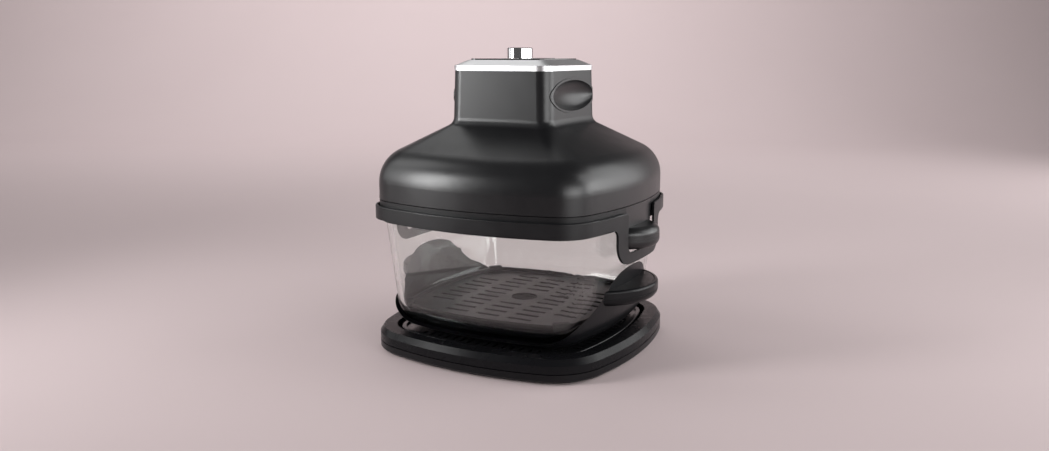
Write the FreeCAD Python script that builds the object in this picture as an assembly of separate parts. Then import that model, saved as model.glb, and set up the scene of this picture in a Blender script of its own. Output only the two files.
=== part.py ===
import FreeCAD, Part
import math
import os
from FreeCAD import Vector

os.makedirs("parts", exist_ok=True)

# Sizes in millimetres. Z is up, the front faces -Y, the carrying tabs face +X and -X.
# Clearances
PLAY = 0.6              # between pieces that lift off each other
GAP = 0.3               # between close curved faces
FIT = 0.1               # between pieces fixed to each other
RUN = 0.05              # radial play of a shaft in its bearing
GRIP = 0.01             # radial play of a pressed hub

# Plan shape: half widths of rounded squares with bowed sides
BOW = 311.0             # radius of the bowed sides
HOOD = 120.0            # hood at its seam
HOOD_CORNER = 37.0
SHOULDER_R = 33.0
NECK_FOOT_R = 9.0
HOOD_WALL = 3.0
SET_BACK = 0.2          # frame inside the hood's edge
FRAME_WALL = 3.0
DROP_WALL = 2.2         # drop plates at the sides of the frame
COLLAR_WALL = 2.2
COLLAR_PLAY = 1.4
SKIRT_WALL = 1.4
LEDGE = 8.3             # width of the collar ledge over the glass rim
GLASS_WALL = 5.0
GLASS_LEAN = 12.5       # how far the glass widens from foot to rim
CRISP_PLAY = 3.7        # crisper plate inside the foot of the bowl
CRADLE_WALL = 3.0
TAB_REACH = 15.0        # cradle tabs beyond the hood
TAB_R = 57.3            # plan radius of the cradle tabs
TAB_RIM = 3.2           # rim of a cradle tab round its cap
LIFT_REACH = 17.0       # head's tabs beyond the hood
LIFT_HALF = 29.0        # half length of the head's tabs
DROP_RIM = 1.0          # drop plate beyond the head's tabs
LIFT_PLAY = 2.0         # round the head's tabs in the collar notch
U_LEG = 17.0            # width of the collar drop beside its notch
BASE = 123.4
BASE_CORNER = 52.0
BASE_CHAMFER = 3.6
BASE_BORDER = 12.8      # flat border of the base
BASE_WALL = 2.6
TRIVET_PLAY = 4.4
TRIVET_RIM = 4.4
NECK = 51.2             # neck at its top
NECK_LEAN = 1.2         # how much wider the neck is at its foot
NECK_CORNER = 12.2
NECK_WALL = 2.6
BEZEL_SLOPE = 10.8      # width of the sloped silver frame
BEZEL_LIP = 0.4         # silver frame beyond the neck
BEZEL_RIM = 2.0         # silver frame round the panel
PANEL_LEDGE = 3.3
PANEL_CORNER = 7.1

# Heights
FOOT_H = 2.0            # feet below the base pan
PAN_H = 7.3
SEAM = 0.8              # shadow gaps between mouldings
SHELL_H = 6.9           # upright edge of the base shell
CHAMFER_H = 5.2
RECESS = 9.2            # depth of the base recess
TRIVET_H = 5.5          # trivet plate, without its rim
LEG_H = 3.5             # cradle legs and pads
PAD_SHOW = 2.0          # pads below the legs
PAD_H = 3.0
GLASS_H = 103.5
GLASS_FLOOR = 7.0
CRISP_RISE = 7.5        # crisper plate above the glass floor
SEAL_H = 1.0
LEDGE_H = 2.5
BAND_DROP = 5.0         # foot of the collar band below its ledge
COLLAR_H = 12.4         # collar band
COLLAR_DROP = 34.0      # drop below the band
NOTCH_FLOOR = 9.5       # height of the bar under the notch
LIFT_H = 20.0           # head's tabs
TAB_H = 15.0            # cradle tabs
TAB_RISE = 30.5         # cradle tabs above the foot of the glass
CAP_H = 5.0             # caps let into the cradle tabs
FRAME_H = 12.8
SPIGOT_H = 7.0
HOOD_H = 36.2           # wall, up to where it would meet the roof
ROOF_H = 33.0
NECK_H = 48.8
BEZEL_H = 4.7
SLOPE_H = 5.1
PANEL_H = 3.2
PANEL_PROUD = 1.2       # panel above the silver frame
BOARD_DROP = 8.8        # control board below the top of the neck

# Machinery
AIR_MARGIN = 22.0       # from the hood's edge to the round air opening
FLOOR_H = 2.5
GUARD_H = 1.5
LINER_H = 44.2
SHEET = 1.2
HEAT_R = 3.5            # heater tube
HEAT_H = 11.0           # heater above the guard
WOOL_IN = 26.0          # wool inside the air opening
WOOL_H = 8.8
PLATE_IN = 4.0          # motor plate inside the wool
BOLT_IN = 10.0          # its screws inside its edge
PLATE_H = 2.0
MOTOR = 31.0
MOTOR_H = 41.0
SHAFT = 3.0
SCREW = 1.6
KNOB = 12.2
KNOB_H = 9.8
KNOB_Y = -9.0
GRIP_H = 16.2           # half height of the oval grips
GRIP_END = 5.2          # neck beyond each end of a grip

# Derived plan sizes
FRAME = HOOD - SET_BACK
COLLAR_IN = FRAME + COLLAR_PLAY
COLLAR = COLLAR_IN + COLLAR_WALL
SKIRT_OUT = FRAME - DROP_WALL - PLAY
SKIRT_IN = SKIRT_OUT - SKIRT_WALL
LEDGE_IN = SKIRT_IN - LEDGE
GLASS_TOP = SKIRT_IN - PLAY
GLASS_FOOT = GLASS_TOP - GLASS_LEAN
CHAMBER = HOOD - AIR_MARGIN
WOOL = CHAMBER - WOOL_IN
PLATE = WOOL - PLATE_IN
PLATE_BOLT = PLATE - BOLT_IN
TAB_OUT = HOOD + TAB_REACH
TAB_X = TAB_OUT - TAB_R
LIFT_OUT = HOOD + LIFT_REACH
DROP_HALF = LIFT_HALF + DROP_RIM
NOTCH = DROP_HALF + LIFT_PLAY
U_HALF = NOTCH + U_LEG
RECESS_HALF = BASE - BASE_CHAMFER - BASE_BORDER
RECESS_CORNER = BASE_CORNER - BASE_CHAMFER - BASE_BORDER
TRIVET = RECESS_HALF - TRIVET_PLAY
TRIVET_CORNER = RECESS_CORNER - TRIVET_PLAY
CRISPER = GLASS_FOOT - GLASS_WALL - CRISP_PLAY
NECK_IN = NECK - NECK_WALL
NECK_FOOT = NECK + NECK_LEAN
GRIP_A = NECK - GRIP_END
BEZEL = NECK + BEZEL_LIP
PANEL = BEZEL - BEZEL_SLOPE - BEZEL_RIM

# Derived heights
Z_SEAM = FOOT_H + PAN_H
Z_SHELL = Z_SEAM + SEAM
Z_ARRIS = Z_SHELL + SHELL_H
Z_BASE = Z_ARRIS + CHAMFER_H
Z_RECESS = Z_BASE - RECESS
Z_TRIVET = Z_RECESS + TRIVET_H
Z_CRADLE = Z_TRIVET + LEG_H
Z_GLASS = Z_CRADLE + CRADLE_WALL
Z_FLOOR = Z_GLASS + GLASS_FLOOR
Z_RIM = Z_GLASS + GLASS_H
Z_SEAL = Z_RIM + SEAL_H
Z_LEDGE = Z_SEAL + LEDGE_H
Z_BAND = Z_LEDGE - BAND_DROP
Z_COLLAR = Z_BAND + COLLAR_H
Z_DROP = Z_BAND - COLLAR_DROP
Z_NOTCH = Z_DROP + NOTCH_FLOOR
Z_LIFT = Z_NOTCH + LIFT_PLAY
Z_LIFT_TOP = Z_LIFT + LIFT_H
Z_HOOD = Z_LEDGE + FRAME_H
Z_SHOULDER = Z_HOOD + HOOD_H
Z_ROOF = Z_SHOULDER + ROOF_H
Z_NECK = Z_ROOF + NECK_H
Z_BEZEL = Z_NECK + BEZEL_H
Z_PANEL = Z_BEZEL + SLOPE_H + PANEL_PROUD
Z_CRISP = Z_FLOOR + CRISP_RISE
Z_TAB = Z_GLASS + TAB_RISE
Z_TAB_TOP = Z_TAB + TAB_H
Z_CAP = Z_TAB_TOP - CAP_H
Z_GUARD = Z_LEDGE + FLOOR_H
Z_LINER = Z_GUARD + GUARD_H
Z_LINER_TOP = Z_LINER + LINER_H
Z_PLATE = Z_LINER_TOP + WOOL_H
Z_MOTOR = Z_PLATE + PLATE_H
Z_MOTOR_TOP = Z_MOTOR + MOTOR_H
Z_HEAT = Z_LINER + HEAT_H
Z_BOARD = Z_NECK - BOARD_DROP
Z_GRIP = Z_NECK - NECK_H / 2 + 1.6


def corner_centre(half, corner, bow):
    if bow is None:
        return half - corner
    d = bow - half
    k = bow - corner
    return (-d + math.sqrt(2 * k * k - d * d)) / 2


def tip(half, corner, bow=BOW):
    """X and Y of the outline on its diagonal."""
    return corner_centre(half, corner, bow) + corner / math.sqrt(2)


def outline(half, corner, z, bow=BOW):
    """Rounded square with bowed sides, or with straight ones when bow is None."""
    c = corner_centre(half, corner, bow)
    x, y = half, c
    if bow is not None:
        a = math.atan2(c, c + bow - half)
        x = half - bow + bow * math.cos(a)
        y = bow * math.sin(a)
    t = c + corner / math.sqrt(2)
    edges = []
    for ca, sa in ((1, 0), (0, 1), (-1, 0), (0, -1)):
        start, mid, end, over, nxt = [
            Vector(u * ca - v * sa, u * sa + v * ca, z)
            for u, v in ((x, -y), (half, 0), (x, y), (t, t), (y, x))
        ]
        if bow is None:
            edges.append(Part.LineSegment(start, end).toShape())
        else:
            edges.append(Part.Arc(start, mid, end).toShape())
        edges.append(Part.Arc(end, over, nxt).toShape())
    return Part.Wire(edges)


def slab(half, corner, z0, z1, bow=BOW):
    return Part.Face(outline(half, corner, z0, bow)).extrude(Vector(0, 0, z1 - z0))


def ring(half, corner, width, z0, z1, bow=BOW):
    """Frame of even width inside an outline."""
    inner_bow = None if bow is None else bow - width
    hole = slab(half - width, corner - width, z0 - 1, z1 + 1, inner_bow)
    return slab(half, corner, z0, z1, bow).cut(hole)


def taper(low, high, bow=BOW, bow_high=BOW):
    """Straight-sided solid between two outlines given as (half, corner, z)."""
    return Part.makeLoft([outline(*low, bow), outline(*high, bow_high)], True, True)


def fuse(shapes):
    return shapes[0].multiFuse(shapes[1:]).removeSplitter()


def group(shapes):
    return Part.makeCompound(shapes)


def cyl(r, z0, z1, x=0.0, y=0.0):
    return Part.makeCylinder(r, z1 - z0, Vector(x, y, z0))


def tube(r_out, r_in, z0, z1, x=0.0, y=0.0):
    return cyl(r_out, z0, z1, x, y).cut(cyl(r_in, z0 - 1, z1 + 1, x, y))


def rod(r, start, along, length):
    return Part.makeCylinder(r, length, Vector(*start), Vector(*along))


def box(x0, x1, y0, y1, z0, z1):
    return Part.makeBox(x1 - x0, y1 - y0, z1 - z0, Vector(x0, y0, z0))


def spin(shape, degrees):
    shape.rotate(Vector(0, 0, 0), Vector(0, 0, 1), degrees)
    return shape


def polar(r, degrees):
    a = math.radians(degrees)
    return r * math.cos(a), r * math.sin(a)


def corners(x, y):
    return [(sx * x, sy * y) for sx in (1, -1) for sy in (1, -1)]


def mirror_x(shape):
    return shape.mirror(Vector(0, 0, 0), Vector(1, 0, 0))


def level_edges(shape, z, x_from=-1e3):
    """Edges that lie in one horizontal plane and reach past x_from."""
    flat = [e for e in shape.Edges if e.BoundBox.ZLength < 1e-3 and abs(e.BoundBox.ZMin - z) < 1e-3]
    return [e for e in flat if e.BoundBox.XMax > x_from]


def path(points):
    """Closed wire of straight runs, rounded by the radius given at each point (u, v, r)."""
    n = len(points)
    turns = []
    for i in range(n):
        p, q, s = [Vector(*points[k % n][:2], 0) for k in (i, i - 1, i + 1)]
        r = points[i][2]
        if r == 0:
            turns.append((p, None, p))
            continue
        a = (q - p).normalize()
        b = (s - p).normalize()
        half = a.getAngle(b) / 2
        mid = p + (a + b).normalize() * (r / math.sin(half) - r)
        turns.append((p + a * (r / math.tan(half)), mid, p + b * (r / math.tan(half))))
    edges = []
    for i in range(n):
        start, mid, end = turns[i]
        if mid is not None:
            edges.append(Part.Arc(start, mid, end).toShape())
        nxt = turns[(i + 1) % n][0]
        if (nxt - end).Length > 1e-6:
            edges.append(Part.LineSegment(end, nxt).toShape())
    return Part.Wire(edges)


def prism_x(wire, x0, x1):
    """Prism along X from a wire drawn as Y, Z in the XY plane."""
    face = Part.Face(wire)
    face.rotate(Vector(0, 0, 0), Vector(1, 1, 1), 120)
    face.translate(Vector(x0, 0, 0))
    return face.extrude(Vector(x1 - x0, 0, 0))


def screw(x, y, z, head, head_h, shank, z_end):
    """Pan-head screw driven upwards, z at the underside of its head."""
    return fuse([cyl(head, z, z + head_h, x, y), cyl(shank, z, z_end, x, y)])


def holes(points, r, z0, z1):
    return group([cyl(r, z0, z1, x, y) for x, y in points])


def save(name, shape):
    shape.exportStep("parts/" + name + ".step")


# Base
BOSS = 4.2
FOOT = 8.0
SHANK = 1.5
HEAD = 3.2
base_screw_at = corners(BASE - 53.4, BASE - 53.4)
foot_at = corners(*[tip(BASE, BASE_CORNER) - 14.3] * 2)
Z_PAN_IN = FOOT_H + 2.4
shell = fuse([
    slab(BASE, BASE_CORNER, Z_SHELL, Z_ARRIS),
    taper((BASE, BASE_CORNER, Z_ARRIS), (BASE - BASE_CHAMFER, BASE_CORNER - BASE_CHAMFER, Z_BASE)),
])
under = slab(BASE - BASE_WALL, BASE_CORNER - BASE_WALL, Z_SHELL - 1, Z_BASE - BASE_WALL)
under = under.cut(slab(RECESS_HALF + BASE_WALL, RECESS_CORNER + BASE_WALL, Z_RECESS - 2, Z_BASE))
shell = shell.cut(slab(RECESS_HALF, RECESS_CORNER, Z_RECESS, Z_BASE + 1)).cut(under)
shell = fuse([shell] + [cyl(BOSS, Z_PAN_IN, Z_RECESS - 1, x, y) for x, y in base_screw_at])
save("base_shell", shell.cut(holes(base_screw_at, SHANK + FIT, FOOT_H, Z_RECESS - 1.8)))

pan = fuse([
    taper((BASE - 1.6, BASE_CORNER - 1, FOOT_H), (BASE, BASE_CORNER, FOOT_H + 1.8)),
    slab(BASE, BASE_CORNER, FOOT_H + 1.8, Z_SEAM),
])
pan = pan.cut(slab(BASE - BASE_WALL, BASE_CORNER - BASE_WALL, Z_PAN_IN, Z_SEAM + 1))
pan = pan.cut(holes(base_screw_at, HEAD + FIT, FOOT_H - 1, FOOT_H + 1.4))
pan = pan.cut(holes(base_screw_at, SHANK + FIT, FOOT_H, Z_SEAM))
save("base_pan", pan.cut(holes(foot_at, FOOT + FIT, FOOT_H - 1, FOOT_H + 1)))
screws = [screw(x, y, FOOT_H, HEAD, 1.4, SHANK, Z_RECESS - 2.4) for x, y in base_screw_at]
save("base_screws", group(screws))
foot = cyl(FOOT, 0, FOOT_H + 1)
foot = foot.makeChamfer(0.6, level_edges(foot, 0))
save("base_feet", group([foot.translated(Vector(x, y, 0)) for x, y in foot_at]))

# Trivet plate with its comb of slots
TRIVET_WALL = 3.0
TRIVET_TOP = 2.2
SLOT = 3.4
SLOT_PITCH = 8.6
Z_TRIVET_RIM = Z_TRIVET + 1.8
trivet = slab(TRIVET, TRIVET_CORNER, Z_RECESS, Z_TRIVET_RIM)
trivet = trivet.makeFillet(1.2, level_edges(trivet, Z_TRIVET_RIM))
trivet = trivet.cut(slab(TRIVET - TRIVET_RIM, TRIVET_CORNER - TRIVET_RIM, Z_TRIVET, Z_TRIVET + 3))
hollow = slab(TRIVET - TRIVET_WALL, TRIVET_CORNER - TRIVET_WALL, Z_RECESS - 1, Z_TRIVET - TRIVET_TOP)
ribs = [spin(box(-2 * TRIVET, 2 * TRIVET, -2, 2, Z_RECESS - 1, Z_TRIVET), 45 * i) for i in range(4)]
trivet = trivet.cut(hollow.cut(group(ribs)))
side = int((TRIVET - 34) / SLOT_PITCH)
slots = []
for q in range(4):
    for i in range(-side, side + 1):
        y = SLOT_PITCH * i
        reach = TRIVET - 9.1 - y * y / (2 * BOW)
        slot = box(TRIVET - 22.6, reach, y - SLOT / 2, y + SLOT / 2, Z_RECESS - 1, Z_TRIVET + 1)
        slots.append(spin(slot, 90 * q))
save("trivet_plate", trivet.cut(group(slots)))


# Bowl
def glass_half(z):
    return GLASS_FOOT + GLASS_LEAN * (z - Z_GLASS) / GLASS_H


def bowl_solid(grow, z0, z1, corner0, corner1, bottom_r):
    s = taper((glass_half(z0) + grow, corner0, z0), (glass_half(z1) + grow, corner1, z1))
    return s.makeFillet(bottom_r, level_edges(s, z0))


GLASS_CORNER = 29.0     # at the foot
RIM_CORNER = 34.0       # at the rim
GLASS_HEEL = 22.0       # rounding of the bottom
INNER_CORNER = GLASS_CORNER - GLASS_WALL + 1.5
INNER_RIM = RIM_CORNER - GLASS_WALL + 0.5
glass = bowl_solid(0, Z_GLASS, Z_RIM, GLASS_CORNER, RIM_CORNER, GLASS_HEEL)
inside = bowl_solid(-GLASS_WALL, Z_FLOOR, Z_RIM + 1, INNER_CORNER, INNER_RIM, GLASS_HEEL - GLASS_WALL)
glass = glass.cut(inside)
save("glass_bowl", glass.makeFillet(1.6, level_edges(glass, Z_RIM)))

# Cradle: a shell under the glass, cut by an S-shaped edge that is low in front and high at the sides
EDGE_LOW = 3.6          # edge above the cradle's underside, in front
EDGE_HIGH = 66.0        # and at the sides
EDGE = [
    (-38, 0.012), (-28.7, 0.05), (-14.7, 0.175), (-0.7, 0.435),
    (4.3, 0.647), (7.1, 0.808), (9.3, 0.92), (11.8, 1.0)]
CRADLE_CORNER = GLASS_CORNER + 2.5
CRADLE_RIM = RIM_CORNER + 2.0
CRADLE_HEEL = GLASS_HEEL + CRADLE_WALL
seat = bowl_solid(GAP, Z_GLASS, Z_RIM, GLASS_CORNER + GAP, RIM_CORNER + GAP, GLASS_HEEL)
Z_WING = Z_CRADLE + EDGE_HIGH + 8
wall = bowl_solid(GAP + CRADLE_WALL, Z_CRADLE, Z_WING, CRADLE_CORNER, CRADLE_RIM - 1, CRADLE_HEEL)
rise = [(0.45 * GLASS_FOOT, 0)] + [(GLASS_FOOT + dx, f) for dx, f in EDGE]
half_edge = [Vector(x, 0, Z_CRADLE + EDGE_LOW + (EDGE_HIGH - EDGE_LOW) * f) for x, f in rise]
crest = [Vector(-v.x, 0, v.z) for v in reversed(half_edge)] + half_edge
curve = Part.BSplineCurve()
curve.interpolate(crest)
far = 2 * TAB_OUT
z_end = crest[0].z
framing = [Vector(x, 0, z) for x, z in ((far, z_end), (far, 0), (-far, 0), (-far, z_end))]
below = Part.Face(Part.Wire([curve.toShape(), Part.makePolygon([crest[-1]] + framing + [crest[0]])]))
below.translate(Vector(0, -far, 0))
below = below.extrude(Vector(0, 2 * far, 0))

LEG = 10.0
PAD = 8.0
BULLNOSE = 7.0
LEG_AT = 58.0
leg_at = corners(LEG_AT, LEG_AT)
cap_screw_at = corners(TAB_OUT - 17, 24)
outer_wall = bowl_solid(GAP + CRADLE_WALL, Z_CRADLE, Z_RIM, CRADLE_CORNER, CRADLE_RIM, CRADLE_HEEL)
tab = cyl(TAB_R, Z_TAB, Z_TAB_TOP, TAB_X)
tab = tab.makeFillet(BULLNOSE, level_edges(tab, Z_TAB))
tab = tab.makeFillet(2.4, level_edges(tab, Z_TAB_TOP))
tab = tab.cut(tube(TAB_R + 1, TAB_R - 0.6, Z_TAB + BULLNOSE, Z_TAB + BULLNOSE + SEAM, TAB_X))
tab = tab.cut(cyl(TAB_R - TAB_RIM, Z_CAP, Z_TAB_TOP + 1, TAB_X))
tab = tab.cut(outer_wall)
legs = [cyl(LEG, Z_TRIVET + PAD_SHOW, Z_CRADLE + 1, x, y) for x, y in leg_at]
cradle = fuse([wall.common(below), tab, mirror_x(tab)] + legs).cut(seat)
cradle = cradle.cut(holes(leg_at, PAD + FIT, Z_TRIVET, Z_TRIVET + PAD_H))
cradle = cradle.cut(holes(cap_screw_at, HEAD + FIT, Z_TAB - 1, Z_TAB + 2.2))
save("cradle", cradle.cut(holes(cap_screw_at, SHANK + FIT, Z_TAB, Z_CAP + 1)))

cap = cyl(TAB_R - TAB_RIM - GAP, Z_CAP, Z_TAB_TOP - 0.2, TAB_X)
cap = cap.makeFillet(0.6, level_edges(cap, Z_TAB_TOP - 0.2))
cap_wall = GAP + CRADLE_WALL + FIT
cap = cap.cut(bowl_solid(cap_wall, Z_CRADLE, Z_RIM, CRADLE_CORNER + FIT, CRADLE_RIM + FIT, CRADLE_HEEL))
cap = cap.cut(holes(cap_screw_at, SHANK + FIT, Z_CAP - 1, Z_CAP + 3))
save("handle_cap_right", cap)
save("handle_cap_left", mirror_x(cap))
screws = [screw(x, y, Z_TAB + 0.2, HEAD, 2.0, SHANK, Z_CAP + 2.6) for x, y in cap_screw_at]
save("handle_screws", group(screws))
save("cradle_pads", group([cyl(PAD, Z_TRIVET, Z_TRIVET + PAD_H, x, y) for x, y in leg_at]))

# Crisper plate
CRISP_CORNER = 27.0
CRISP_RIM = 5.5
CRISP_LEG = 62.0
crisper = slab(CRISPER, CRISP_CORNER, Z_CRISP, Z_CRISP + CRISP_RIM)
crisper = crisper.cut(slab(CRISPER - 1.8, CRISP_CORNER - 1.5, Z_CRISP + 1.8, Z_CRISP + 7))
crisper = fuse([crisper] + [cyl(6, Z_FLOOR, Z_CRISP + 1, x, y) for x, y in corners(CRISP_LEG, CRISP_LEG)])
slots = []
for row in range(-5, 6):
    for col in (-2, -1, 0, 1, 2):
        x = col * 33
        y = row * 14
        near_hole = abs(x) < 20 and abs(y) < 20
        near_leg = abs(abs(x) - CRISP_LEG) < 20 and abs(abs(y) - CRISP_LEG) < 10
        if not near_hole and not near_leg:
            slots.append(box(x - 12, x + 12, y - 2.5, y + 2.5, Z_CRISP - 1, Z_CRISP + 3))
save("crisper_plate", crisper.cut(group(slots)).cut(cyl(13, Z_CRISP - 1, Z_CRISP + 3)))
clip_r = math.sqrt(2) * tip(CRISPER, CRISP_CORNER)
clip_seat = slab(CRISPER + FIT, CRISP_CORNER, Z_CRISP - 1, Z_CRISP + CRISP_RIM)
bumper = box(clip_r - 3.5, clip_r + 2.1, -7, 7, Z_CRISP, Z_CRISP + 7)
save("crisper_bumpers", group([spin(bumper.copy(), 45 + 90 * i).cut(clip_seat) for i in range(4)]))

# Collar with a notched drop on each side
FAR = 2 * COLLAR
side_view = path([
    (-FAR, Z_BAND, 0), (-U_HALF, Z_BAND, 8), (-U_HALF, Z_DROP, 19),
    (U_HALF, Z_DROP, 19), (U_HALF, Z_BAND, 8),
    (FAR, Z_BAND, 0), (FAR, Z_COLLAR, 0), (NOTCH, Z_COLLAR, 4), (NOTCH, Z_NOTCH, 8), (-NOTCH, Z_NOTCH, 8),
    (-NOTCH, Z_COLLAR, 4), (-FAR, Z_COLLAR, 0)])
band = slab(COLLAR, HOOD_CORNER, Z_DROP, Z_COLLAR)
band = band.makeFillet(0.9, level_edges(band, Z_COLLAR))
band = band.cut(slab(COLLAR_IN, 33.5, Z_DROP - 1, Z_COLLAR + 1))
web = slab(COLLAR_IN + 1, 34, Z_BAND, Z_LEDGE).cut(slab(SKIRT_OUT, 34.6, Z_DROP, Z_COLLAR))
skirt = slab(SKIRT_OUT, 34.6, Z_BAND - 3, Z_LEDGE).cut(slab(SKIRT_IN, 34.4, Z_DROP, Z_SEAL))
skirt = skirt.cut(slab(LEDGE_IN, 28, Z_DROP, Z_COLLAR))
outside = fuse([band, web]).common(prism_x(side_view, -FAR, FAR))
save("collar", fuse([outside, skirt]))
save("rim_seal", ring(GLASS_TOP - 0.4, 33.6, LEDGE - 2, Z_RIM, Z_SEAL))

# Head frame
POST = 4.5
PAD_IN = 5.5            # inner face of the pads behind the drop plates
Z_FRAME = Z_HOOD - SEAM
frame_screw_at = corners(HOOD - 16.8, 62)
guard_screw_at = [polar(CHAMBER + 4.5, a) for a in range(15, 375, 60)]
pin_at = [tip(FRAME - FRAME_WALL, 33) - 4.4] * 2
frame = slab(FRAME, HOOD_CORNER - SET_BACK, Z_LEDGE, Z_FRAME)
frame = frame.cut(slab(FRAME - FRAME_WALL, 33, Z_GUARD, Z_HOOD + 1))
spigot = slab(HOOD - HOOD_WALL - PLAY, 33.6, Z_FRAME - 2, Z_HOOD + SPIGOT_H)
spigot = spigot.cut(slab(HOOD - HOOD_WALL - PLAY - 2, 31.6, Z_FRAME - 3, Z_HOOD + SPIGOT_H + 1))
backing = slab(FRAME - 1, 35, Z_LEDGE, Z_FRAME).cut(slab(FRAME - PAD_IN, 31, Z_LEDGE - 1, Z_HOOD))
backing = backing.common(box(-FAR, FAR, -DROP_HALF - 4, DROP_HALF + 4, Z_LEDGE, Z_HOOD))
posts = [cyl(POST, Z_LEDGE, Z_HOOD + SPIGOT_H, x, y) for x, y in frame_screw_at]
frame = fuse([frame, spigot, backing] + posts).cut(cyl(CHAMBER, Z_LEDGE - 1, Z_GUARD + 1))

# Drop plates, let into the sides of the frame and hanging in the collar's notches
DROP_R = 8.0 - LIFT_PLAY
RIVET = 2.6
Z_RIVET = (Z_LEDGE + Z_FRAME) / 2
side_marks = [(s, y) for s in (1, -1) for y in (0.56 * LIFT_HALF, -0.56 * LIFT_HALF)]


def drop_shape(grow):
    """Side view of a drop plate."""
    half = DROP_HALF + grow
    low = Z_LIFT - grow
    return path([(-half, Z_FRAME, 0), (-half, low, DROP_R), (half, low, DROP_R), (half, Z_FRAME, 0)])


pocket = prism_x(drop_shape(FIT), -FAR, FAR).cut(slab(FRAME - DROP_WALL - FIT, 34.6, Z_DROP, Z_HOOD))
frame = frame.cut(pocket)
frame = frame.cut(holes(frame_screw_at, HEAD + FIT, Z_LEDGE - 1, Z_LEDGE + 2.2))
frame = frame.cut(holes(frame_screw_at, SCREW + FIT, Z_LEDGE, Z_HOOD + SPIGOT_H + 1))
frame = frame.cut(ring(FRAME - 4.6, 33, 2.0, Z_LEDGE - 1, Z_LEDGE + 1))
frame = frame.cut(holes(guard_screw_at, SHANK + FIT, Z_LEDGE - 1, Z_GUARD + 1))
frame = frame.cut(holes([pin_at], SHANK + RUN, Z_LEDGE - 1, Z_GUARD + 1))
rivet_holes = [rod(SHANK + FIT, (s * (FRAME - 9), y, Z_RIVET), (s, 0, 0), 8) for s, y in side_marks]
frame = frame.cut(group(rivet_holes))
save("head_frame", frame)
save("frame_seal", ring(FRAME - 4.6 - FIT, 33 - FIT, 2.0 - 2 * FIT, Z_LEDGE, Z_LEDGE + 1))
screws = [screw(x, y, Z_LEDGE + 0.2, HEAD, 2.0, SCREW, Z_HOOD + 20) for x, y in frame_screw_at]
save("frame_screws", group(screws))

Z_PIN = (Z_LIFT + Z_LIFT_TOP) / 2
plates = slab(FRAME, HOOD_CORNER - SET_BACK, Z_DROP, Z_HOOD)
plates = plates.cut(slab(FRAME - DROP_WALL, 34.8, Z_DROP - 1, Z_HOOD + 1))
plate = plates.common(prism_x(drop_shape(0), HOOD / 2, FAR))
right_marks = [y for s, y in side_marks if s > 0]
plate = plate.cut(group([rod(SCREW + FIT, (HOOD / 2, y, Z_PIN), (1, 0, 0), HOOD) for y in right_marks]))
blind = FRAME - DROP_WALL - HOOD / 2
rivet_holes = [rod(SHANK + FIT, (HOOD / 2, y, Z_RIVET), (1, 0, 0), blind) for y in right_marks]
plate = plate.cut(group(rivet_holes))
save("drop_plate_right", plate)
save("drop_plate_left", mirror_x(plate))
rivets = []
for s, y in side_marks:
    start = s * (FRAME - PAD_IN - (abs(y) + RIVET) ** 2 / (2 * BOW))
    head = rod(RIVET, (start, y, Z_RIVET), (-s, 0, 0), 1.2)
    rivets.append(fuse([head, rod(SHANK, (start, y, Z_RIVET), (s, 0, 0), 2.4)]))
save("plate_rivets", group(rivets))

# Head's tabs, rounded pods on the drop plates
LIFT_R = (LIFT_HALF ** 2 + LIFT_REACH ** 2) / (2 * LIFT_REACH)
LIFT_NOSE = 7.0
lift = cyl(LIFT_R, Z_LIFT, Z_LIFT_TOP, LIFT_OUT - LIFT_R)
lift = lift.makeFillet(LIFT_NOSE, level_edges(lift, Z_LIFT))
lift = lift.makeFillet(LIFT_NOSE, level_edges(lift, Z_LIFT_TOP))
grooves = (Z_PIN - 1.9, Z_PIN + 1.2)
seams = [tube(LIFT_R + 1, LIFT_R - 0.5, z, z + 0.7, LIFT_OUT - LIFT_R) for z in grooves]
lift = lift.cut(group(seams)).cut(slab(FRAME + FIT, HOOD_CORNER, Z_LIFT - 1, Z_LIFT_TOP + 1))
lift = lift.cut(group([rod(SCREW + FIT, (HOOD - 6, y, Z_PIN), (1, 0, 0), 14) for y in right_marks]))
save("lift_tab_right", lift)
save("lift_tab_left", mirror_x(lift))
pins = [rod(SCREW, (s * (FRAME - DROP_WALL), y, Z_PIN), (s, 0, 0), 9) for s, y in side_marks]
save("lift_tab_pins", group(pins))

# Hood
def hood_solid(inset, z0, z_top, neck_low, neck_top, neck_r, shoulder_r):
    """Wall, sloping roof and neck, rounded where they meet."""
    z_shoulder = Z_SHOULDER - 0.62 * inset
    z_roof = Z_ROOF - 0.84 * inset
    corner = HOOD_CORNER - inset
    s = fuse([
        slab(HOOD - inset, corner, z0, z_shoulder),
        taper((HOOD - inset, corner, z_shoulder), (neck_low, neck_r, z_roof), BOW, None),
        taper((neck_low, neck_r, z_roof), (neck_top, neck_r, z_top), None, None),
    ])
    s = s.makeFillet(shoulder_r, level_edges(s, z_shoulder))
    return s.makeFillet(NECK_FOOT_R, level_edges(s, z_roof))


def oval(grow, x0, x1):
    """Prism of the grip's oval on the +X side of the neck."""
    e = Part.Ellipse(Vector(0, Z_GRIP, 0), GRIP_A + grow, GRIP_H + grow)
    return prism_x(Part.Wire(e.toShape()), x0, x1)


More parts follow.
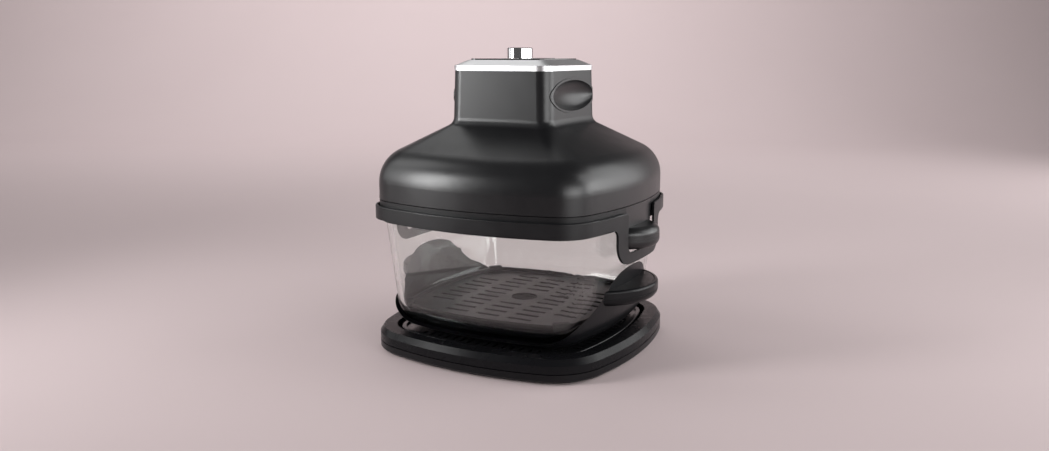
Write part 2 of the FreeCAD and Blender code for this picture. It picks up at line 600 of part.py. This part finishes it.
inner_corner = NECK_CORNER - NECK_WALL
inner_shoulder = SHOULDER_R - HOOD_WALL
hood_out = hood_solid(0, Z_HOOD, Z_NECK, NECK_FOOT, NECK, NECK_CORNER, SHOULDER_R)
hood_in = hood_solid(HOOD_WALL, Z_HOOD - 1, Z_NECK + 1, NECK_IN, NECK_IN, inner_corner, inner_shoulder)
plate_screw_at = corners(PLATE_BOLT, PLATE_BOLT)
Z_RIB = Z_HOOD + SPIGOT_H + GAP
ribs = []
for x, y in frame_screw_at:
    ribs.append(cyl(POST, Z_RIB, Z_HOOD + 27, x, y))
    ribs.append(box(min(x, 1.1 * x), max(x, 1.1 * x), y - 1.5, y + 1.5, Z_RIB, Z_HOOD + 27))
ribs += [cyl(POST, Z_MOTOR, Z_ROOF, x, y) for x, y in plate_screw_at]
hood = fuse([hood_out.cut(hood_in)] + [r.common(hood_out) for r in ribs])
hood = hood.cut(holes(frame_screw_at, SCREW + FIT, Z_RIB - 1, Z_HOOD + 21))
hood = hood.cut(holes(plate_screw_at, SCREW + FIT, Z_MOTOR - 1, Z_MOTOR + 9))
VENT_X = 29.0
VENT_Z = 12.0
Z_GLAND = Z_HOOD + 21.2
GLAND = 7.0
grip_hole = oval(0, NECK_IN - 8, NECK + 20)
hood = hood.cut(grip_hole).cut(mirror_x(grip_hole))
hood = hood.cut(box(-VENT_X, VENT_X, NECK_IN - 8, NECK + 9, Z_GRIP - VENT_Z, Z_GRIP + VENT_Z))
save("hood", hood.cut(rod(GLAND, (0, HOOD - 10, Z_GLAND), (0, 1, 0), 20)))

# Dished finger grips
skin = taper((NECK_FOOT + 0.7, 12.6, Z_ROOF), (NECK + 0.7, 12.6, Z_NECK), None, None)
DISH = 10.5
dish = Part.makeSphere(1.0)
stretch = FreeCAD.Matrix()
stretch.scale(DISH, GRIP_A - 2.4, GRIP_H - 1.7)
stretch.move(NECK + 3.3, 0, Z_GRIP)
dish = dish.transformGeometry(stretch)
flange_half = NECK_IN - 10.6
flange = oval(2.0, NECK_IN - 4, NECK_IN).common(box(0, NECK, -flange_half, flange_half, Z_ROOF, Z_NECK))
grip = fuse([oval(-FIT, NECK_IN - 6.6, NECK + 20).common(skin), flange]).cut(dish)
save("grip_right", grip)
save("grip_left", mirror_x(grip))

vent = fuse([
    box(FIT - VENT_X, VENT_X - FIT, NECK_IN - 2.6, NECK, Z_GRIP - VENT_Z + FIT, Z_GRIP + VENT_Z - FIT),
    box(-VENT_X - 2, VENT_X + 2, NECK_IN - 2.6, NECK_IN, Z_GRIP - VENT_Z - 2, Z_GRIP + VENT_Z + 2),
])
louvres = []
for i in range(6):
    z = Z_GRIP - 9.7 + 3.6 * i
    louvres.append(box(4 - VENT_X, VENT_X - 4, 0, NECK + 9, z, z + 1.8))
save("rear_vent", vent.cut(group(louvres)))
gland = fuse([
    rod(GLAND - FIT, (0, HOOD - 7.5, Z_GLAND), (0, 1, 0), 9),
    rod(GLAND + 2.6, (0, HOOD + 0.02, Z_GLAND), (0, 1, 0), 3),
])
save("cord_gland", gland.cut(rod(3.4, (0, HOOD - 4, Z_GLAND), (0, 1, 0), 9)))

# Heating chamber
guard = [tube(CHAMBER + 8, CHAMBER - 3, Z_GUARD, Z_LINER), cyl(15, Z_GUARD, Z_LINER)]
pitch = (CHAMBER - 18) / 5
for i in range(1, 5):
    guard.append(tube(15 + pitch * i + 1.6, 15 + pitch * i - 1.6, Z_GUARD, Z_LINER))
for i in range(4):
    guard.append(spin(box(1 - CHAMBER, CHAMBER - 1, -2, 2, Z_GUARD, Z_LINER), 45 * i))
guard_holes = holes(guard_screw_at, SHANK + FIT, Z_GUARD - 1, Z_LINER + 3)
save("fan_guard", fuse(guard).cut(guard_holes))
screws = [screw(x, y, Z_LEDGE - 1.6, 2.8, 1.6, SHANK, Z_LINER + 2.4) for x, y in guard_screw_at]
save("guard_screws", group(screws))

LINER = CHAMBER + 4
DOME = 22.0
profile = Part.Face(path([
    (LINER + 7, Z_LINER, 0), (LINER + 7, Z_LINER + SHEET, 0), (LINER, Z_LINER + SHEET, 0),
    (LINER, Z_LINER_TOP, DOME), (6, Z_LINER_TOP, 0), (6, Z_LINER_TOP - SHEET, 0),
    (LINER - SHEET, Z_LINER_TOP - SHEET, DOME - SHEET), (LINER - SHEET, Z_LINER, 0)]))
profile.rotate(Vector(0, 0, 0), Vector(1, 0, 0), 90)
liner = profile.revolve(Vector(0, 0, 0), Vector(0, 0, 1), 360)
HEATER = CHAMBER - 14
lead_at = [(-7, HEATER), (7, HEATER)]
sensor_at = [0, 18 - CHAMBER]
liner = liner.cut(holes(lead_at, 4.2, Z_LINER + 30, Z_LINER_TOP + 5)).cut(guard_holes)
save("inner_liner", liner.cut(holes([sensor_at], 2.5 + FIT, Z_LINER + 30, Z_LINER_TOP + 5)))

coil = [Part.makeTorus(r, HEAT_R, Vector(0, 0, Z_HEAT)) for r in (HEATER, HEATER - 18)]
coil.append(rod(HEAT_R, (0, -HEATER, Z_HEAT), (0, 1, 0), 18))
coil += [cyl(3, Z_HEAT, Z_PLATE, x, y) for x, y in lead_at]
save("heater_coil", fuse(coil))
Z_CLIP = Z_HEAT + HEAT_R
clips = []
for a in (30, 150, 270):
    arm = box(HEATER - 4, LINER - SHEET - FIT, -3.5, 3.5, Z_CLIP, Z_CLIP + 1.4)
    foot = box(LINER - 3.2, LINER - SHEET - FIT, -3.5, 3.5, Z_HEAT - 8, Z_CLIP + 1.4)
    clips.append(spin(fuse([arm, foot]), a))
save("heater_clips", group(clips))

# Drive
motor_screw_at = [(20, 0), (-20, 0)]
drive_screws = plate_screw_at + motor_screw_at
wool = tube(WOOL, 14, Z_LINER_TOP, Z_PLATE).cut(holes(drive_screws, 4.2, Z_LINER_TOP - 1, Z_PLATE + 1))
save("insulation_disc", wool)
plate = slab(PLATE, 12, Z_PLATE, Z_MOTOR, None).cut(cyl(9, Z_PLATE - 1, Z_MOTOR + 1))
save("motor_plate", plate.cut(holes(drive_screws, SCREW + FIT, Z_PLATE - 1, Z_MOTOR + 1)))
screws = [screw(x, y, Z_PLATE - 2, 3.4, 2, SCREW, Z_MOTOR + 8) for x, y in plate_screw_at]
save("plate_screws", group(screws))
screws = [screw(x, y, Z_PLATE - 2, 3.4, 2, SCREW, Z_MOTOR + 7) for x, y in motor_screw_at]
save("motor_screws", group(screws))
motor = fuse([
    cyl(MOTOR, Z_MOTOR, Z_MOTOR_TOP - 6),
    cyl(MOTOR - 4, Z_MOTOR_TOP - 6, Z_MOTOR_TOP - 3),
    cyl(9, Z_MOTOR_TOP - 3, Z_MOTOR_TOP),
])
motor = motor.cut(cyl(SHAFT + RUN, Z_MOTOR - 1, Z_MOTOR_TOP + 1))
save("motor", motor.cut(holes(motor_screw_at, SCREW + FIT, Z_MOTOR - 1, Z_MOTOR + 8)))
sensor = [cyl(2.5, Z_LINER_TOP - 12, Z_LINER_TOP + 10, *sensor_at)]
sensor.append(cyl(4.6, Z_LINER_TOP + 0.2, Z_LINER_TOP + 3, *sensor_at))
save("temp_sensor", fuse(sensor))
FUSE_X = MOTOR + 16
thermal = [box(FUSE_X - 7, FUSE_X + 7, -5, 5, Z_MOTOR, Z_MOTOR + 1.2)]
thermal.append(box(FUSE_X - 5, FUSE_X + 5, -3, 3, Z_MOTOR + 1.2, Z_MOTOR + 5.5))
save("thermal_fuse", fuse(thermal))

# Fan rotor
FAN_H = 16.0
Z_FAN = Z_HEAT + 7
hub_hole = cyl(SHAFT + GRIP, Z_GUARD, Z_NECK)
save("motor_shaft", cyl(SHAFT, Z_FAN - 5.5, Z_MOTOR_TOP + 14))
blades = [cyl(12, Z_FAN, Z_FAN + FAN_H), tube(CHAMBER - 25, 11, Z_FAN + FAN_H - 1.4, Z_FAN + FAN_H)]
for i in range(10):
    blade = box(10, CHAMBER - 26, -0.7, 0.7, Z_FAN, Z_FAN + FAN_H - 1)
    blade.rotate(Vector(10, 0, 0), Vector(0, 0, 1), 14)
    blades.append(spin(blade, 36 * i))
save("hot_air_fan", fuse(blades).cut(hub_hole))
Z_COOL = Z_MOTOR_TOP + 3
blades = [cyl(8, Z_COOL, Z_COOL + 11)]
for i in range(7):
    blade = box(7, NECK - 15.2, -0.7, 0.7, Z_COOL + 1, Z_COOL + 10)
    blade.rotate(Vector(0, 0, Z_COOL + 5.5), Vector(1, 0, 0), 30)
    blades.append(spin(blade, 360 * i / 7))
save("cooling_fan", fuse(blades).cut(hub_hole))
hexagon = [Vector(*polar(5.8, 60 * i), Z_FAN - 4) for i in range(7)]
save("fan_nut", Part.Face(Part.makePolygon(hexagon)).extrude(Vector(0, 0, 4)).cut(hub_hole))

# Top controls
post_at = corners(NECK - 16.7, NECK - 16.7)
Z_BOARD_TOP = Z_BOARD + 1.6
Z_UNDER = Z_PANEL - PANEL_H
bezel = fuse([
    slab(BEZEL, NECK_CORNER, Z_NECK, Z_BEZEL, None),
    taper((BEZEL, NECK_CORNER, Z_BEZEL), (BEZEL - BEZEL_SLOPE, 8.6, Z_BEZEL + SLOPE_H), None, None),
    slab(NECK_IN - GAP, 9.2, Z_NECK - 4, Z_NECK + 1, None),
])
bezel = bezel.cut(slab(NECK_IN - 2.6, 8, Z_NECK - 5, Z_NECK + 3.4, None))
bezel = bezel.cut(slab(PANEL + FIT, PANEL_CORNER + FIT, Z_UNDER, Z_PANEL + 1, None))
bezel = bezel.cut(slab(PANEL - PANEL_LEDGE, 6, Z_NECK, Z_PANEL, None))
bezel = fuse([bezel] + [cyl(3.6, Z_BOARD_TOP, Z_UNDER - 1, x, y) for x, y in post_at])
save("top_bezel", bezel.cut(holes(post_at, 1.2 + FIT, Z_BOARD, Z_BOARD + 8)))
knob_hole = [(0, KNOB_Y)]
panel = slab(PANEL, PANEL_CORNER, Z_UNDER, Z_PANEL, None)
save("control_panel", panel.cut(holes(knob_hole, SHAFT + PLAY, Z_UNDER - 1, Z_PANEL + 1)))
board = slab(NECK - 12.7, 5, Z_BOARD, Z_BOARD_TOP, None)
save("control_board", board.cut(holes(post_at, 1.2 + FIT, Z_BOARD - 1, Z_BOARD + 3)))
save("board_screws", group([screw(x, y, Z_BOARD - 1.4, 2.6, 1.4, 1.2, Z_BOARD + 7) for x, y in post_at]))
save("display_module", box(-22, 22, KNOB_Y + 18, KNOB_Y + 41, Z_BOARD_TOP, Z_UNDER))
save("relay", box(-33, -14, KNOB_Y - 22, KNOB_Y - 8, Z_BOARD_TOP, Z_BOARD_TOP + 11.4))
encoder = fuse([
    box(-7, 7, KNOB_Y - 7, KNOB_Y + 7, Z_BOARD_TOP, Z_BOARD + 8),
    cyl(4.6, Z_BOARD + 8, Z_UNDER, 0, KNOB_Y),
])
save("encoder_body", encoder.cut(holes(knob_hole, SHAFT + RUN, Z_BOARD + 4, Z_PANEL)))

# Knob
Z_KNOB = Z_PANEL + GAP
Z_KNOB_TOP = Z_KNOB + KNOB_H
knob = cyl(KNOB, Z_KNOB, Z_KNOB_TOP, 0, KNOB_Y)
knob = knob.makeChamfer(0.8, level_edges(knob, Z_KNOB_TOP))
knob = knob.cut(tube(KNOB - 1.8, SHAFT + 2.2, Z_KNOB - 1, Z_KNOB_TOP - 2.2, 0, KNOB_Y))
knob = knob.cut(holes(knob_hole, SHAFT + GRIP, Z_KNOB - 1, Z_KNOB_TOP - 3.6))
mark = box(-0.7, 0.7, KNOB_Y - KNOB + 2.2, KNOB_Y - KNOB + 8.2, Z_KNOB_TOP - 0.6, Z_KNOB_TOP)
save("control_knob", knob.cut(mark))
save("knob_pointer", mark)
save("encoder_shaft", cyl(SHAFT, Z_BOARD + 4.4, Z_KNOB_TOP - 4, 0, KNOB_Y))

# Safety switch, worked by a pin that rests on the collar ledge
px, py = pin_at
switch = fuse([
    box(px - 9, px + 3, py - 3, py + 3, Z_GUARD + 2, Z_GUARD + 8.5),
    box(px - 9, px - 4, py - 3, py + 3, Z_GUARD, Z_GUARD + 2),
])
save("safety_switch", switch.cut(holes([pin_at], SHANK + RUN, Z_GUARD + 1, Z_GUARD + 7)))
save("interlock_pin", cyl(SHANK, Z_LEDGE, Z_GUARD + 4.5, px, py))
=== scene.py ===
import math

import bmesh
import bpy
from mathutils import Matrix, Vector


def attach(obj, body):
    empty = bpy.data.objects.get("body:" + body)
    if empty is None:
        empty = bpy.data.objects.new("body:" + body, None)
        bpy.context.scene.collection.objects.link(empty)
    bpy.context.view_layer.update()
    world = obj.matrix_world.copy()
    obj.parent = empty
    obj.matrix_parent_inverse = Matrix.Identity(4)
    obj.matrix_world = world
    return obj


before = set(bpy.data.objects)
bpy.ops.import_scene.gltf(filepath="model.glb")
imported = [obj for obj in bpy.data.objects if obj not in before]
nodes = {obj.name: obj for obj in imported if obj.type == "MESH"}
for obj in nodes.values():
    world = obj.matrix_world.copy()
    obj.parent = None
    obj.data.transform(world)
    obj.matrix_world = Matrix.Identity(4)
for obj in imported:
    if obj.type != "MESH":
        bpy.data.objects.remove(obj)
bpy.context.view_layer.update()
scene = bpy.context.scene
MM = 0.001

# Materials
NOISE_LOW = 0.3         # where most of a noise texture lies
NOISE_HIGH = 0.7
CLOUD_SCALE = 24        # noise scales, in waves per metre
SHEEN_SCALE = 60
TONE_SCALE = 40
STREAK_DEPTH = 0.02 * MM
GLASS_TINT = (0.95, 0.975, 0.965)
GLASS_IOR = 1.5
GLASS_ROUGH = (0.0, 0.02)
SMEAR_SCALE = 30
RIPPLE_SCALE = 16
RIPPLE_DEPTH = 0.6 * MM
RIPPLE_STRENGTH = 0.06


def new_material(name):
    mat = bpy.data.materials.new(name)
    mat.use_nodes = True
    tree = mat.node_tree
    return mat, tree, tree.nodes["Principled BSDF"]


def noise(tree, scale, detail=2.0, stretch=(1, 1, 1)):
    coord = tree.nodes.new("ShaderNodeTexCoord")
    mapping = tree.nodes.new("ShaderNodeMapping")
    mapping.inputs["Scale"].default_value = stretch
    tex = tree.nodes.new("ShaderNodeTexNoise")
    tex.inputs["Scale"].default_value = scale
    tex.inputs["Detail"].default_value = detail
    tree.links.new(coord.outputs["Object"], mapping.inputs["Vector"])
    tree.links.new(mapping.outputs["Vector"], tex.inputs["Vector"])
    return tex.outputs["Fac"]


def spread(tree, value, low, high):
    """Noise drawn out to the range from low to high."""
    node = tree.nodes.new("ShaderNodeMapRange")
    node.inputs["From Min"].default_value = NOISE_LOW
    node.inputs["From Max"].default_value = NOISE_HIGH
    node.inputs["To Min"].default_value = low
    node.inputs["To Max"].default_value = high
    tree.links.new(value, node.inputs["Value"])
    return node.outputs["Result"]


def tint(tree, value, dark, light):
    node = tree.nodes.new("ShaderNodeMix")
    node.data_type = "RGBA"
    node.inputs["A"].default_value = (*dark, 1)
    node.inputs["B"].default_value = (*light, 1)
    tree.links.new(value, node.inputs["Factor"])
    return node.outputs["Result"]


def bump(tree, bsdf, value, distance, strength):
    node = tree.nodes.new("ShaderNodeBump")
    node.inputs["Distance"].default_value = distance
    node.inputs["Strength"].default_value = strength
    tree.links.new(value, node.inputs["Height"])
    tree.links.new(node.outputs["Normal"], bsdf.inputs["Normal"])


def moulded(name, dark, light, rough, grain=2600, depth=0.04 * MM, strength=0.25, specular=0.5):
    """Opaque coat or plastic: fine grain, with slight clouds in its colour and sheen."""
    mat, tree, bsdf = new_material(name)
    cloud = noise(tree, CLOUD_SCALE, 3)
    tree.links.new(tint(tree, cloud, dark, light), bsdf.inputs["Base Color"])
    tree.links.new(spread(tree, noise(tree, SHEEN_SCALE, 4), *rough), bsdf.inputs["Roughness"])
    bump(tree, bsdf, noise(tree, grain), depth, strength)
    bsdf.inputs["Specular IOR Level"].default_value = specular
    return mat


def metal(name, dark, light, rough, stretch=(1, 1, 1), grain=900, strength=0.12):
    """Bare metal: streaks, drawn out by the stretch, in its sheen and surface."""
    mat, tree, bsdf = new_material(name)
    streak = noise(tree, grain, 3, stretch)
    tree.links.new(tint(tree, noise(tree, TONE_SCALE), dark, light), bsdf.inputs["Base Color"])
    tree.links.new(spread(tree, streak, *rough), bsdf.inputs["Roughness"])
    bump(tree, bsdf, streak, STREAK_DEPTH, strength)
    bsdf.inputs["Metallic"].default_value = 1.0
    return mat


def clear_glass(name):
    mat, tree, bsdf = new_material(name)
    bsdf.inputs["Base Color"].default_value = (*GLASS_TINT, 1)
    bsdf.inputs["Transmission Weight"].default_value = 1.0
    bsdf.inputs["IOR"].default_value = GLASS_IOR
    tree.links.new(spread(tree, noise(tree, SMEAR_SCALE), *GLASS_ROUGH), bsdf.inputs["Roughness"])
    bump(tree, bsdf, noise(tree, RIPPLE_SCALE, 1), RIPPLE_DEPTH, RIPPLE_STRENGTH)
    return mat


satin = moulded("satin_black_plastic", (0.006, 0.006, 0.007), (0.009, 0.009, 0.010), (0.31, 0.35))
frame_black = moulded(
    "frame_black_plastic", (0.006, 0.006, 0.007), (0.009, 0.009, 0.010), (0.36, 0.46), specular=0.32)
gloss = moulded(
    "gloss_black_plastic", (0.005, 0.005, 0.006), (0.007, 0.007, 0.008), (0.24, 0.32),
    strength=0.1, specular=0.12)
low_black = moulded(
    "low_black_plastic", (0.004, 0.004, 0.005), (0.006, 0.006, 0.007), (0.28, 0.36), specular=0.2)
panel_black = moulded(
    "panel_black_glass", (0.006, 0.006, 0.007), (0.009, 0.009, 0.010), (0.06, 0.1), strength=0.02)
coated = moulded(
    "coated_black_metal", (0.004, 0.004, 0.004), (0.007, 0.007, 0.008), (0.3, 0.38),
    grain=1500, depth=0.06 * MM, strength=0.3, specular=0.3)
enamel = moulded(
    "black_enamel", (0.006, 0.006, 0.007), (0.009, 0.009, 0.01), (0.2, 0.28),
    grain=1500, strength=0.15)
rubber = moulded("black_silicone", (0.014, 0.014, 0.014), (0.02, 0.02, 0.02), (0.6, 0.75), 1800)
grey_plastic = moulded("grey_plastic", (0.15, 0.15, 0.16), (0.2, 0.2, 0.21), (0.45, 0.55))
board_green = moulded("board_green", (0.03, 0.17, 0.07), (0.05, 0.24, 0.1), (0.3, 0.4), 700)
ceramic = moulded("white_ceramic", (0.78, 0.77, 0.73), (0.87, 0.86, 0.82), (0.5, 0.6), 900)
wool = moulded("mineral_wool", (0.6, 0.57, 0.48), (0.8, 0.77, 0.68), (0.85, 0.95), 420, 0.6 * MM, 0.7)
silver = metal("satin_silver", (0.72, 0.72, 0.73), (0.79, 0.79, 0.80), (0.34, 0.44), (30, 1, 1), 400)
chrome = metal(
    "polished_chrome", (0.78, 0.78, 0.79), (0.84, 0.84, 0.85), (0.08, 0.14), (1, 1, 0.05), 700, 0.05)
zinc = metal("zinc_steel", (0.5, 0.51, 0.53), (0.64, 0.65, 0.67), (0.3, 0.45))
steel = metal("plain_steel", (0.42, 0.42, 0.43), (0.54, 0.54, 0.55), (0.3, 0.42), (1, 1, 12))
heat_steel = metal(
    "heat_darkened_steel", (0.09, 0.075, 0.07), (0.2, 0.17, 0.155), (0.4, 0.6), (1, 1, 1), 200, 0.3)
aluminium = metal("liner_aluminium", (0.6, 0.6, 0.62), (0.74, 0.74, 0.75), (0.3, 0.42), (1, 1, 20), 300)
glass = clear_glass("clear_glass")

LOOKS = {
    satin: [
        "hood", "lift_tab_left", "lift_tab_right", "grip_left", "grip_right", "rear_vent",
        "drop_plate_left", "drop_plate_right"],
    frame_black: ["collar", "head_frame", "display_module"],
    low_black: ["cradle", "handle_cap_left", "handle_cap_right", "base_pan"],
    gloss: ["base_shell", "knob_pointer"],
    panel_black: ["control_panel"],
    coated: ["crisper_plate"],
    enamel: ["trivet_plate"],
    rubber: ["base_feet", "cradle_pads", "crisper_bumpers", "rim_seal", "frame_seal", "cord_gland"],
    grey_plastic: ["relay", "safety_switch", "cooling_fan", "interlock_pin"],
    board_green: ["control_board"],
    ceramic: ["thermal_fuse"],
    wool: ["insulation_disc"],
    silver: ["top_bezel"],
    chrome: ["control_knob"],
    zinc: [
        "base_screws", "handle_screws", "lift_tab_pins", "plate_rivets", "frame_screws", "guard_screws",
        "motor_plate", "plate_screws", "motor_screws", "board_screws", "fan_nut"],
    steel: [
        "fan_guard", "heater_clips", "motor", "temp_sensor", "encoder_body", "motor_shaft",
        "encoder_shaft"],
    heat_steel: ["heater_coil"],
    aluminium: ["inner_liner", "hot_air_fan"],
    glass: ["glass_bowl"],
}
look_of = {name: mat for mat, names in LOOKS.items() for name in names}
for name, node in nodes.items():
    node.data.materials.clear()
    node.data.materials.append(look_of[name])

# Details on the control panel: ticks round the knob and a display window
KNOB_Y = -9 * MM
PANEL_TOP = 273.8 * MM
TICKS = 28
TICK_GAP = 3            # steps left out at the front
TICK_IN = 15.2 * MM
TICK_OUT = 17.6 * MM
LONG_TICK_OUT = 18.8 * MM
LONG_EVERY = 11
TICK_HALF = 0.3 * MM
TICK_H = 0.12 * MM
WINDOW = (-19 * MM, 19 * MM, 13 * MM, 29 * MM)
WINDOW_R = 3 * MM
WINDOW_H = 0.35 * MM
WINDOW_EDGE = 0.2 * MM  # upright edge below its bevel
WINDOW_BEVEL = 0.15 * MM
CORNER_STEPS = 8


def rounded(x0, x1, y0, y1, r, inset):
    """Outline of a rounded rectangle, drawn in by an inset."""
    x0, x1, y0, y1, r = x0 + inset, x1 - inset, y0 + inset, y1 - inset, r - inset
    centres = [(x1 - r, y1 - r), (x0 + r, y1 - r), (x0 + r, y0 + r), (x1 - r, y0 + r)]
    points = []
    for quarter, (cx, cy) in enumerate(centres):
        for i in range(CORNER_STEPS + 1):
            turn = math.pi / 2 * (quarter + i / CORNER_STEPS)
            points.append((cx + r * math.cos(turn), cy + r * math.sin(turn)))
    return points


def piece(name, mesh, mat, body):
    """A new piece that moves with a body."""
    data = bpy.data.meshes.new(name)
    bmesh.ops.recalc_face_normals(mesh, faces=mesh.faces)
    mesh.to_mesh(data)
    mesh.free()
    data.materials.append(mat)
    ob = bpy.data.objects.new(name, data)
    scene.collection.objects.link(ob)
    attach(ob, body)


def stack(mesh, loops):
    """Skin over loops of equal length, closed at both ends."""
    rings = [[mesh.verts.new(p) for p in loop] for loop in loops]
    for low, high in zip(rings, rings[1:]):
        for i, v in enumerate(low):
            j = (i + 1) % len(low)
            mesh.faces.new((v, low[j], high[j], high[i]))
    mesh.faces.new(list(reversed(rings[0])))
    mesh.faces.new(rings[-1])


ink = moulded("pale_print", (0.62, 0.62, 0.62), (0.7, 0.7, 0.7), (0.5, 0.6), 900)
tick_mesh = bmesh.new()
for i in range(TICK_GAP, TICKS - TICK_GAP + 1):
    turn = 2 * math.pi * i / TICKS - math.pi / 2
    out = LONG_TICK_OUT if (i - TICK_GAP) % LONG_EVERY == 0 else TICK_OUT
    along = Vector((math.cos(turn), math.sin(turn), 0))
    across = Vector((-math.sin(turn), math.cos(turn), 0)) * TICK_HALF
    centre = Vector((0, KNOB_Y, PANEL_TOP))
    ends = [centre + along * TICK_IN, centre + along * out]
    flat = [ends[0] - across, ends[1] - across, ends[1] + across, ends[0] + across]
    stack(tick_mesh, [flat, [p + Vector((0, 0, TICK_H)) for p in flat]])
piece("panel_ticks", tick_mesh, ink, "head")
window_mesh = bmesh.new()
stack(window_mesh, [
    [(x, y, PANEL_TOP + z) for x, y in rounded(*WINDOW, WINDOW_R, inset)]
    for inset, z in ((0, 0), (0, WINDOW_EDGE), (WINDOW_BEVEL, WINDOW_H))])
window_glass = moulded(
    "display_window", (0.012, 0.014, 0.016), (0.016, 0.018, 0.02), (0.03, 0.06), strength=0.01)
piece("display_window", window_mesh, window_glass, "head")

# Camera, matched to the photograph
FRAME_W_PX = 1049       # the photograph
FRAME_H_PX = 451
AXIS_PX = 182.02        # row where the view axis meets it
FOCAL_PX = 899.3
SENSOR = 36
TARGET = Vector((0, 0, 154.78 * MM))
AZIMUTH = math.radians(28.4)
ELEVATION = math.radians(8.07)
DISTANCE = 874.2 * MM
away = Vector((
    math.sin(AZIMUTH) * math.cos(ELEVATION),
    -math.cos(AZIMUTH) * math.cos(ELEVATION),
    math.sin(ELEVATION),
))
camera_data = bpy.data.cameras.new("camera")
camera = bpy.data.objects.new("camera", camera_data)
scene.collection.objects.link(camera)
camera.location = TARGET + away * DISTANCE
camera.rotation_euler = (-away).to_track_quat("-Z", "Y").to_euler()
camera_data.sensor_fit = "HORIZONTAL"
camera_data.sensor_width = SENSOR
camera_data.lens = SENSOR * FOCAL_PX / FRAME_W_PX
camera_data.shift_y = (AXIS_PX - FRAME_H_PX / 2) / FRAME_W_PX
scene.camera = camera

# Pale floor that sweeps up behind the object
SWEEP_FRONT = -4.0
SWEEP_BACK = 1.9
SWEEP_R = 1.2
SWEEP_STEPS = 24
SWEEP_HALF = 6.0
FLOOR_SCALE = 3
FLOOR_DARK = (0.63, 0.52, 0.525)
FLOOR_LIGHT = (0.65, 0.54, 0.545)
FLOOR_ROUGH = 0.85
mat, tree, bsdf = new_material("pale_floor")
tree.links.new(tint(tree, noise(tree, FLOOR_SCALE), FLOOR_DARK, FLOOR_LIGHT), bsdf.inputs["Base Color"])
bsdf.inputs["Roughness"].default_value = FLOOR_ROUGH
profile = [(SWEEP_FRONT, 0.0)]
for i in range(SWEEP_STEPS + 1):
    turn = math.pi / 2 * i / SWEEP_STEPS
    profile.append((SWEEP_BACK + SWEEP_R * math.sin(turn), SWEEP_R * (1 - math.cos(turn))))
sheet = bmesh.new()
rows = [[sheet.verts.new((x, y, z)) for x in (-SWEEP_HALF, SWEEP_HALF)] for y, z in profile]
for near, far in zip(rows, rows[1:]):
    sheet.faces.new((near[0], near[1], far[1], far[0])).smooth = True
floor_mesh = bpy.data.meshes.new("floor")
sheet.to_mesh(floor_mesh)
sheet.free()
floor = bpy.data.objects.new("floor", floor_mesh)
floor.rotation_euler = (0, 0, AZIMUTH)
floor.data.materials.append(mat)
scene.collection.objects.link(floor)

# World and lamps, in metres and watts
WORLD_COLOUR = (0.60, 0.59, 0.59)
WORLD_STRENGTH = 0.16
CENTRE = (0, 0, 0.15)
WIDE = 180
NARROW = 90             # spread of the lamps near the floor, in degrees
world = bpy.data.worlds.new("studio")
scene.world = world
world.use_nodes = True
backdrop = world.node_tree.nodes["Background"]
backdrop.inputs["Color"].default_value = (*WORLD_COLOUR, 1)
backdrop.inputs["Strength"].default_value = WORLD_STRENGTH


def softbox(name, place, aim, size, power, beam=WIDE):
    data = bpy.data.lights.new(name, "AREA")
    data.shape = "RECTANGLE"
    data.size, data.size_y = size
    data.energy = power
    data.spread = math.radians(beam)
    lamp = bpy.data.objects.new(name, data)
    lamp.location = place
    lamp.rotation_euler = (Vector(aim) - Vector(place)).to_track_quat("-Z", "Y").to_euler()
    scene.collection.objects.link(lamp)


softbox("key_front", (-0.72, -0.76, 0.41), CENTRE, (0.30, 0.58), 2.5, NARROW)
softbox("key_left", (-1.0, -0.3, 0.42), CENTRE, (0.5, 0.56), 0.3, NARROW)
softbox("left_high", (-0.95, -0.3, 1.0), CENTRE, (0.5, 0.5), 2.0)
softbox("right_wall", (1.39, -0.56, 0.36), CENTRE, (1.4, 0.6), 3.9, NARROW)
softbox("right_low", (1.02, 0.41, 0.34), CENTRE, (0.6, 0.45), 1.1, NARROW)
softbox("right_high", (1.15, 0.3, 0.95), CENTRE, (0.5, 0.5), 2.4)
softbox("side_back_right", (1.2, 1.32, 0.7), CENTRE, (1.1, 1.3), 12)
softbox("top_back_left", (-1.0, 1.0, 1.95), CENTRE, (1.2, 1.4), 5.2)
softbox("sweep_light", (-1.0, 1.2, 2.2), (-1.7, 2.6, 0.9), (3.2, 0.8), 60)

scene.view_settings.view_transform = "Standard"
